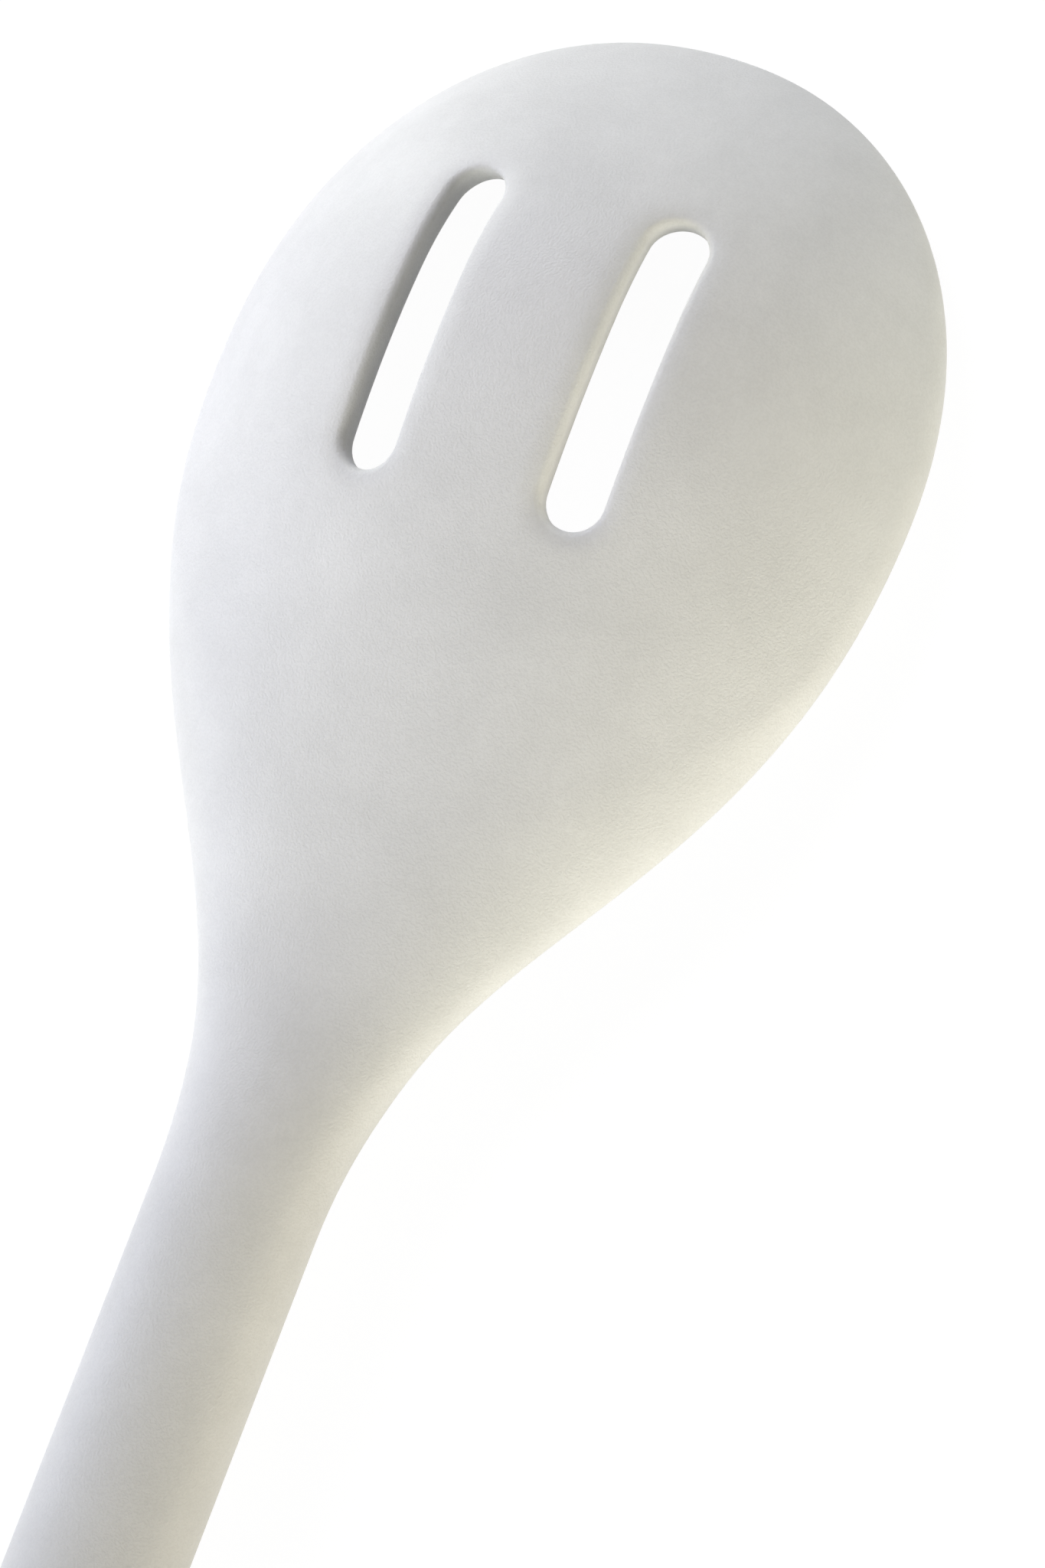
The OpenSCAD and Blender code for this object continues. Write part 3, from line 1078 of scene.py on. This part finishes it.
@dataclass(frozen=True)
class Stand:
    """How far from its spot a lamp stands, how large it is and where the spot lies, in metres."""

    distance: float
    size: float
    spot: tuple[float, float, float] = (0.06, 0.0, 0.01)


FAR = Stand(distance=1.2, size=0.6)
FAR_STRIP = Stand(distance=1.2, size=0.3)
BY_BOWL = Stand(distance=0.42, size=0.22, spot=(0.12, 0.0, 0.01))
BY_HANDLE = Stand(distance=0.25, size=0.12, spot=(0.02, 0.0, 0.01))


@dataclass(frozen=True)
class Softbox:
    """A square lamp that faces a spot on the spoon.

    The azimuth is the side that its light comes from, in degrees from +X towards +Y, and
    the elevation is above the floor.
    """

    name: str
    stand: Stand
    azimuth: float
    elevation: float
    power: float
    colour: tuple[float, float, float]

    def build(self) -> bpy.types.Object:
        """Makes the lamp."""
        data = bpy.data.lights.new(self.name, "AREA")
        data.shape = "SQUARE"
        data.size = self.stand.size
        data.energy = self.power
        data.color = self.colour
        a, e = math.radians(self.azimuth), math.radians(self.elevation)
        back = np.array([math.cos(a) * math.cos(e), math.sin(a) * math.cos(e), math.sin(e)])
        aside = np.array([-math.sin(a), math.cos(a), 0.0])
        lamp = bpy.data.objects.new(self.name, data)
        bpy.context.scene.collection.objects.link(lamp)
        place = np.array(self.stand.spot) + self.stand.distance * back
        lamp.matrix_world = pose_matrix(aside, np.cross(back, aside), back, place)
        return lamp


def pose_matrix(right: np.ndarray, up: np.ndarray, back: np.ndarray, place: np.ndarray) -> Matrix:
    """Pose of a lamp or camera, which look along the reverse of back."""
    pose = np.eye(4)
    pose[:3, :3] = np.stack([right, up, back], axis=1)
    pose[:3, 3] = place
    return Matrix(pose.tolist())


@dataclass(frozen=True)
class PhotoCamera:
    """The photograph's camera, above the spoon and rolled about its long axis.

    The roll turns the view about the spoon's axis, the pitch tips it towards the butt and
    the turn is the axis's slant in the picture. Lengths are in millimetres, but for the
    nearest and farthest depth that it sees, which are in metres.
    """

    roll: float = 24.73
    pitch: float = 7.334
    turn: float = 21.424
    distance: float = 600.0
    along: float = 74.38
    across: float = 7.114
    focal_px: float = 8116.0
    sensor: float = 36.0
    clip: tuple[float, float] = (0.01, 50.0)

    def build(self) -> bpy.types.Object:
        """Makes the camera and gives it to the scene."""
        phi, theta, rho = (math.radians(a) for a in (self.roll, self.pitch, self.turn))
        across = np.array([0.0, -math.cos(phi), -math.sin(phi)])
        rise = np.array([0.0, -math.sin(phi), math.cos(phi)])
        forth = np.array([1.0, 0.0, 0.0])
        along = math.cos(theta) * forth + math.sin(theta) * rise
        back = math.cos(theta) * rise - math.sin(theta) * forth
        right = math.sin(rho) * along + math.cos(rho) * across
        up = math.cos(rho) * along - math.sin(rho) * across
        place = self.along * along + self.across * across + self.distance * back
        data = bpy.data.cameras.new("photo_camera")
        data.sensor_fit = "AUTO"
        data.sensor_width = self.sensor
        data.lens = self.sensor * self.focal_px / PHOTO_H
        data.clip_start, data.clip_end = self.clip
        camera = bpy.data.objects.new("photo_camera", data)
        bpy.context.scene.collection.objects.link(camera)
        camera.matrix_world = pose_matrix(right, up, back, place * MM)
        bpy.context.scene.camera = camera
        return camera


@dataclass(frozen=True)
class Studio:
    """Pale floor, white surround and soft lamps."""

    floor_size: float = 6.0
    floor_drop: float = 0.00005
    floor_colour: tuple[float, float, float] = (0.80, 0.80, 0.80)
    floor_glow_share: float = 0.9
    floor_glow_level: float = 1.07
    air: tuple[float, float, float] = (0.8, 0.85, 0.9)
    air_level: float = 0.06
    lamps: tuple[Softbox, ...] = (
        Softbox("butt_strip", FAR_STRIP, 180.0, 5.0, 14.1, (0.99, 1.0, 0.91)),
        Softbox("far_left_softbox", FAR, 60.0, 12.0, 4.3, (0.94, 1.0, 0.81)),
        Softbox("near_left_softbox", BY_BOWL, 90.0, 42.0, 0.39, (1.0, 0.92, 0.75)),
        Softbox("near_tip_softbox", BY_BOWL, 45.0, 42.0, 0.93, (0.85, 0.86, 1.0)),
        Softbox("near_right_softbox", BY_BOWL, 270.0, 15.0, 0.45, (1.0, 0.91, 0.7)),
        Softbox("handle_left_lamp", BY_HANDLE, 90.0, 20.0, 0.14, (0.5, 0.56, 1.0)),
        Softbox("handle_right_lamp", BY_HANDLE, 270.0, 5.0, 0.18, (1.0, 0.87, 0.67)),
        Softbox("handle_front_lamp", BY_HANDLE, 300.0, 5.0, 0.1, (0.87, 1.0, 0.98)),
    )

    def floor(self) -> bpy.types.Object:
        """The floor, which the camera sees as white with the spoon's shadow on it."""
        half, z = self.floor_size / 2.0, -self.floor_drop
        corners = [(-half, -half, z), (half, -half, z), (half, half, z), (-half, half, z)]
        mesh = bpy.data.meshes.new("floor")
        mesh.from_pydata(corners, [], [(0, 1, 2, 3)])
        floor = bpy.data.objects.new("floor", mesh)
        bpy.context.scene.collection.objects.link(floor)
        material = bpy.data.materials.new("pale_floor")
        wiring = clean_wiring(material)
        plain = wiring.add("ShaderNodeBsdfDiffuse", input_0=(*self.floor_colour, 1.0))
        glow = wiring.add("ShaderNodeEmission", input_1=self.floor_glow_level)
        mix = wiring.add("ShaderNodeMixShader")
        share = wiring.times(self.seen(wiring), self.floor_glow_share)
        output = wiring.add("ShaderNodeOutputMaterial")
        wiring.join(share, mix.inputs[0])
        wiring.join(plain.outputs[0], mix.inputs[1])
        wiring.join(glow.outputs[0], mix.inputs[2])
        wiring.join(mix.outputs[0], output.inputs["Surface"])
        mesh.materials.append(material)
        return floor

    def seen(self, wiring: Wiring) -> bpy.types.NodeSocket:
        """1 where a camera, mirror or glass looks, and 0 for light on its way elsewhere."""
        path = wiring.add("ShaderNodeLightPath")
        either = path.outputs["Is Camera Ray"]
        for name in ("Is Glossy Ray", "Is Transmission Ray"):
            node = wiring.add("ShaderNodeMath", operation="MAXIMUM")
            wiring.join(either, node.inputs[0])
            wiring.join(path.outputs[name], node.inputs[1])
            either = node.outputs[0]
        return either

    def surround(self) -> None:
        """The world: soft air light, and white where it is seen."""
        world = bpy.data.worlds.new("surround")
        bpy.context.scene.world = world
        wiring = clean_wiring(world)
        air = wiring.add("ShaderNodeBackground", input_0=(*self.air, 1.0), input_1=self.air_level)
        white = wiring.add("ShaderNodeBackground", input_0=(1.0, 1.0, 1.0, 1.0), input_1=1.0)
        mix = wiring.add("ShaderNodeMixShader")
        output = wiring.add("ShaderNodeOutputWorld")
        wiring.join(self.seen(wiring), mix.inputs[0])
        wiring.join(air.outputs[0], mix.inputs[1])
        wiring.join(white.outputs[0], mix.inputs[2])
        wiring.join(mix.outputs[0], output.inputs["Surface"])

    def build(self) -> None:
        """Sets up the floor, the surround and the lamps."""
        bpy.context.scene.view_settings.view_transform = "Standard"
        self.floor()
        self.surround()
        for lamp in self.lamps:
            lamp.build()
        log.info("studio: %d lamps", len(self.lamps))


def main() -> None:
    """Builds and dresses every piece, then the studio and the camera."""
    logging.basicConfig(level=logging.INFO, format="%(name)s: %(message)s")
    groups = GroupSet(grain_group(), cloud_group(), drawn_group())
    form = SpoonForm()
    SiliconeJacket(form).build(SiliconeFinish().material(groups))
    InnerPieces(
        plate=SteelFinish("rolled_steel").material(groups),
        rod=SteelFinish("drawn_steel", roughness=(0.22, 0.38)).material(groups),
        core=NylonFinish().material(groups),
    ).dress()
    Studio().build()
    PhotoCamera().build()


if __name__ == "__main__":
    main()
